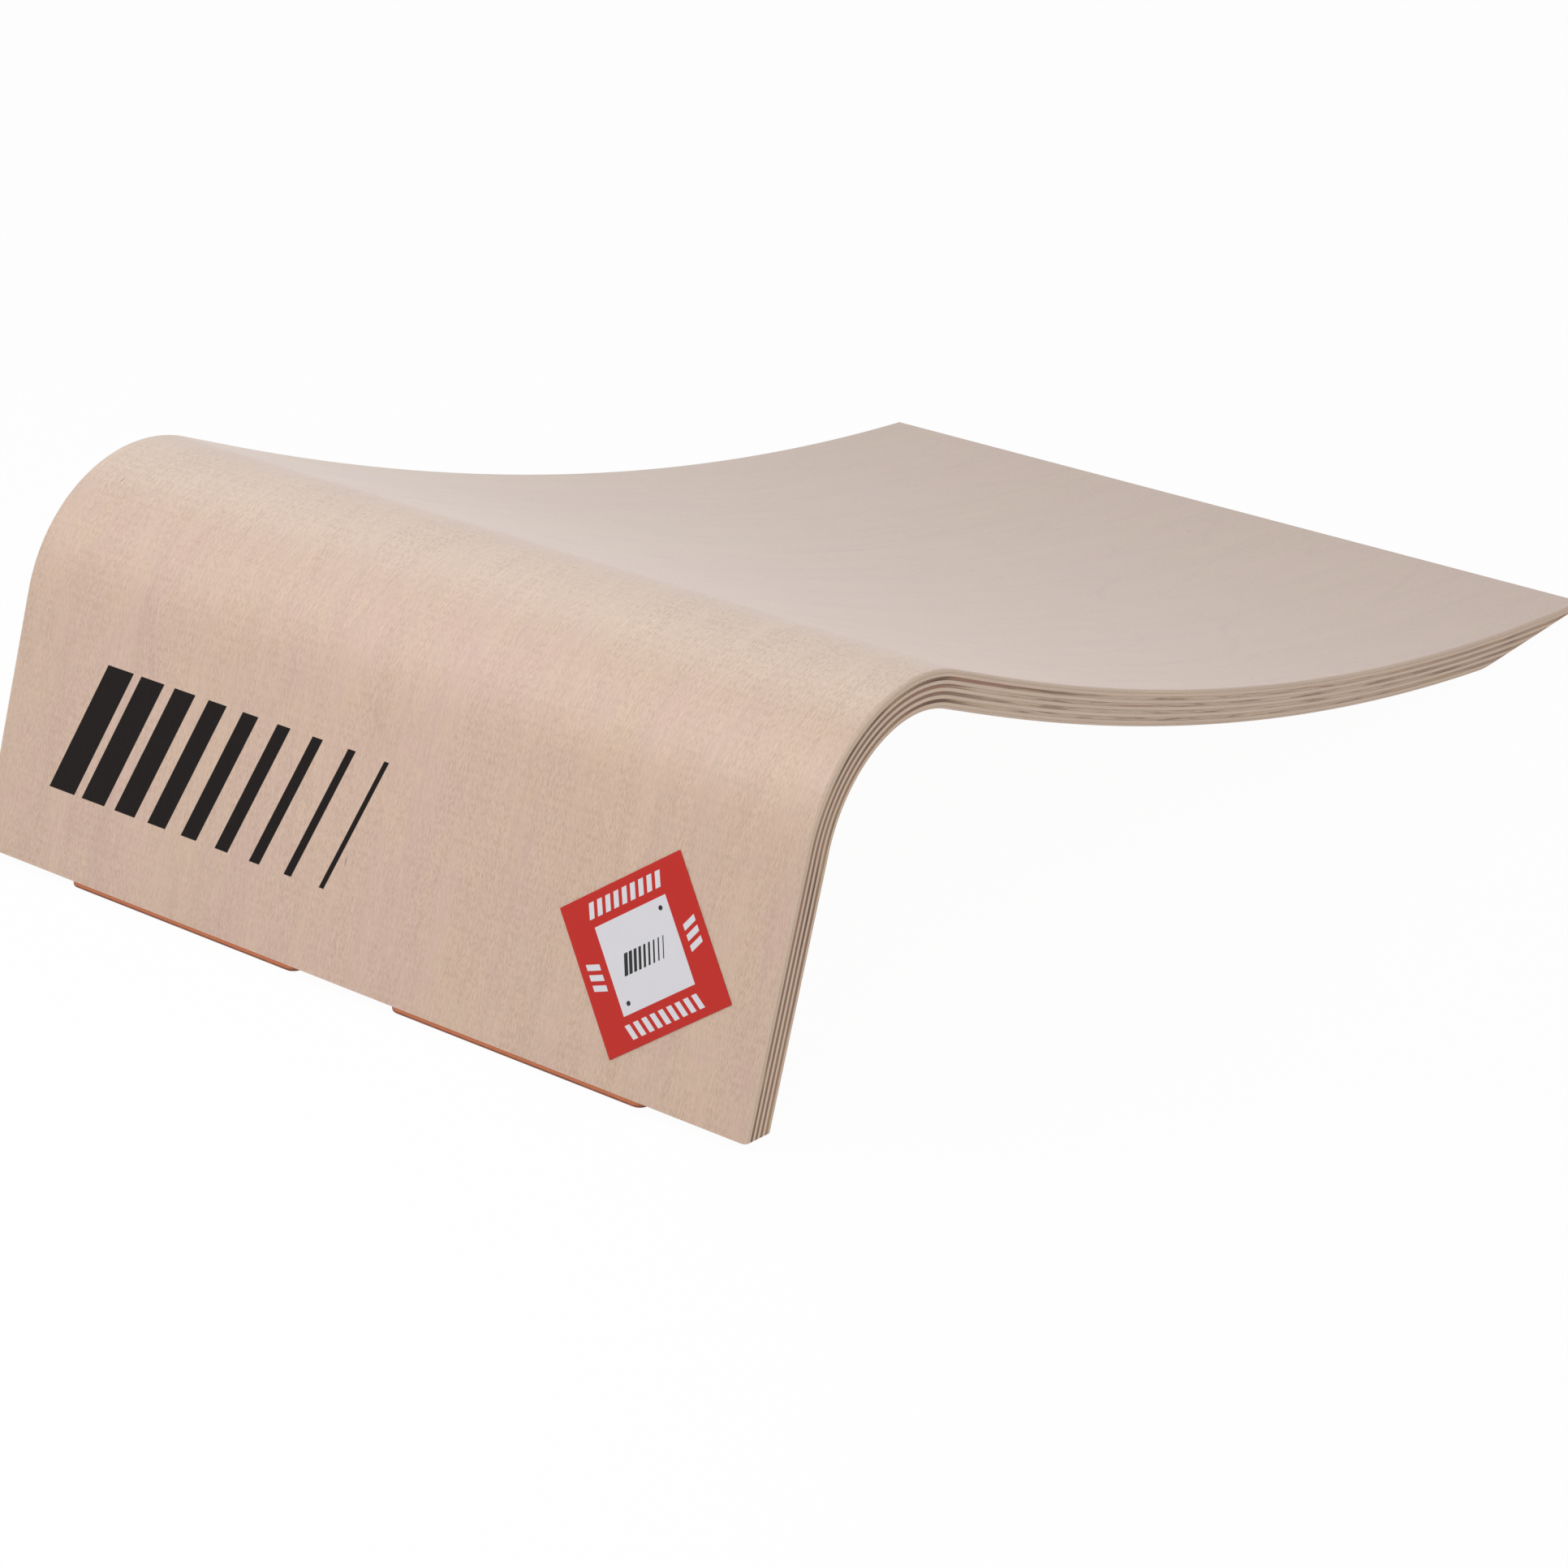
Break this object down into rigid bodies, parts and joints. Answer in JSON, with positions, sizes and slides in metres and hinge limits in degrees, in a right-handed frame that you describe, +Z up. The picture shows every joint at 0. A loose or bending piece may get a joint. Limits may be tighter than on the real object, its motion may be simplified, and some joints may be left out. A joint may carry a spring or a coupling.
{
  "type": "jump ramp",
  "caption": "Portable jump ramp of bent plywood: a leaning leg, a rounded crown and a long curved deck down to a bevelled nose, on rubber grip strips.",
  "frame": {"origin": "on the floor, under the middle of the ramp's outline", "axes": "+X from the leg to the nose, +Y across the ramp to the right of a rider who comes from the nose, +Z up"},
  "size_m": [0.6436, 0.4, 0.1528],
  "materials": {
    "beech_long_grain": "sanded and clear sealed, satin",
    "beech_cross_grain": "end grain, sanded and clear sealed",
    "orange_rubber": "moulded, matte",
    "label_vinyl": "printed vinyl, smooth"
  },
  "bodies": {
    "root": {"deck_face_veneer": "beech_long_grain", "deck_backing_veneer": "beech_long_grain", "cross_veneer_1": "beech_cross_grain", "long_veneer_1": "beech_long_grain", "cross_veneer_2": "beech_cross_grain", "core_veneer": "beech_long_grain", "cross_veneer_3": "beech_cross_grain", "long_veneer_2": "beech_long_grain", "cross_veneer_4": "beech_cross_grain", "underside_backing_veneer": "beech_long_grain", "underside_face_veneer": "beech_long_grain", "rear_grip_strip_left": "orange_rubber", "rear_grip_strip_right": "orange_rubber", "front_grip_strip_left": "orange_rubber", "front_grip_strip_right": "orange_rubber", "square_label": "label_vinyl"}
  },
  "joints": []
}
